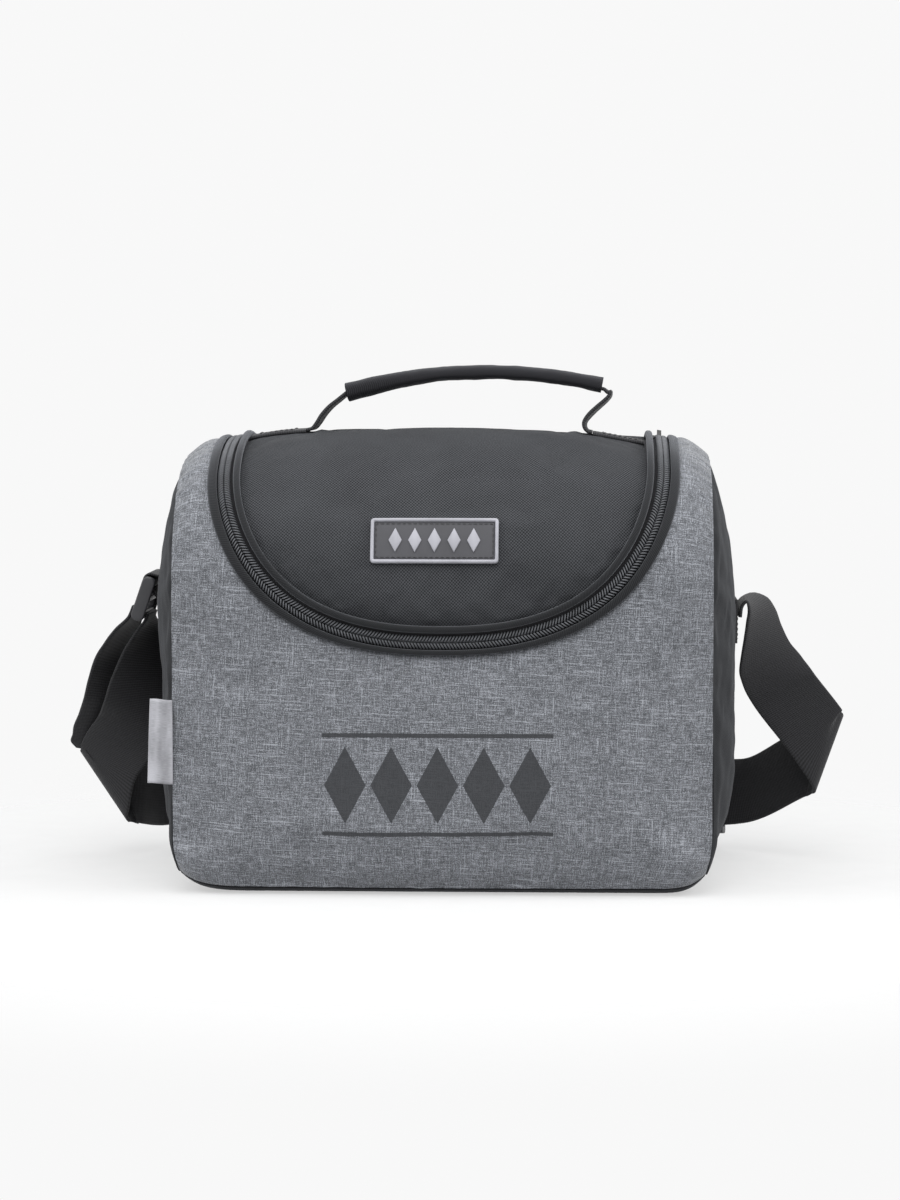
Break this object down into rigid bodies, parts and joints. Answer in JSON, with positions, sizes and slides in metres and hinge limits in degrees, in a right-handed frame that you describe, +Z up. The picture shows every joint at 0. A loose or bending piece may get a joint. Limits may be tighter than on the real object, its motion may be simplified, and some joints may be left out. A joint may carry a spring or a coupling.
{
  "type": "insulated lunch bag",
  "caption": "Box-shaped insulated lunch bag with a curved zip-round lid, a padded carry handle and a webbing shoulder strap.",
  "frame": {"origin": "middle of the base on the floor", "axes": "+Z up, the front panel and badge face -Y, +X to the right seen from the front"},
  "size_m": [0.367, 0.1752, 0.2345],
  "materials": {
    "melange_fabric": "heather grey melange polyester, dark and pale flecks",
    "twill_fabric": "dark charcoal twill, fine diagonal weave",
    "grip_fabric": "dark padded wrap",
    "foam": "closed-cell insulating foam",
    "foil_liner": "silver-grey heat-reflecting liner",
    "zip_tape": "woven tape and piping",
    "zip_coil": "black nylon coil",
    "satin_label": "pale satin ribbon, bare",
    "webbing": "black ribbed webbing",
    "black_plastic": "moulded plastic, light satin",
    "badge_rim": "pale grey raised rim",
    "badge_rubber": "dark grey rubber field, bare",
    "dark_metal": "dark painted die-cast"
  },
  "bodies": {
    "root": {"front_panel": "melange_fabric", "back_panel": "twill_fabric", "base_panel": "twill_fabric", "front_foam": "foam", "back_foam": "foam", "base_foam": "foam", "front_liner": "foil_liner", "back_liner": "foil_liner", "base_liner": "foil_liner", "left_gusset": "twill_fabric", "right_gusset": "twill_fabric", "left_foam": "foam", "right_foam": "foam", "left_liner": "foil_liner", "right_liner": "foil_liner", "outer_zip_tape": "zip_tape", "outer_zip_coil": "zip_coil", "front_zip_rib": "zip_tape", "mouth_binding": "zip_tape", "zip_tail_left": "zip_coil", "zip_tail_right": "zip_coil", "side_label": "satin_label", "strap_patch_left": "webbing", "strap_patch_right": "webbing"},
    "lid": {"lid_shell": "twill_fabric", "lid_foam": "foam", "lid_liner": "foil_liner", "lid_piping": "zip_tape", "inner_zip_tape": "zip_tape", "inner_zip_coil": "zip_coil", "badge_border": "badge_rim", "badge_plate": "badge_rubber", "handle_anchor_left": "webbing", "handle_anchor_right": "webbing", "handle_leg_left": "webbing", "handle_leg_right": "webbing"},
    "handle": {"handle_webbing": "webbing", "handle_grip": "grip_fabric"},
    "slider": {"zip_slider": "dark_metal"},
    "pull": {"zip_pull": "dark_metal"},
    "strap": {"shoulder_strap": "webbing", "strap_tail": "webbing", "ladder_lock": "black_plastic", "strap_tab_left": "webbing", "strap_keeper": "black_plastic"}
  },
  "joints": [
    {"name": "lid_hinge", "type": "hinge", "parent": "root", "child": "lid", "pos_m": [0, 0.03834, 0.2035], "axis": [-1, 0, 0], "range_deg": [0, 100]},
    {"name": "handle_flatten", "type": "slide", "parent": "lid", "child": "handle", "axis": [0, 0, -1], "range_m": [0, 0.011], "stiffness_N_per_m": 400, "deforming": ["handle_leg_left", "handle_leg_right"]},
    {"name": "zip_slider_travel", "type": "hinge", "parent": "root", "child": "slider", "pos_m": [0, 0.02607, 0.15098], "axis": [-1, 0, 0], "range_deg": [0, 8]},
    {"name": "pull_swing", "type": "hinge", "parent": "slider", "child": "pull", "pos_m": [0.098, 0.04824, 0.20034], "axis": [1, 0, 0], "range_deg": [0, 80]},
    {"name": "strap_swing", "type": "hinge", "parent": "root", "child": "strap", "pos_m": [0, 0.015, 0.126], "axis": [1, 0, 0], "range_deg": [0, 90]}
  ]
}
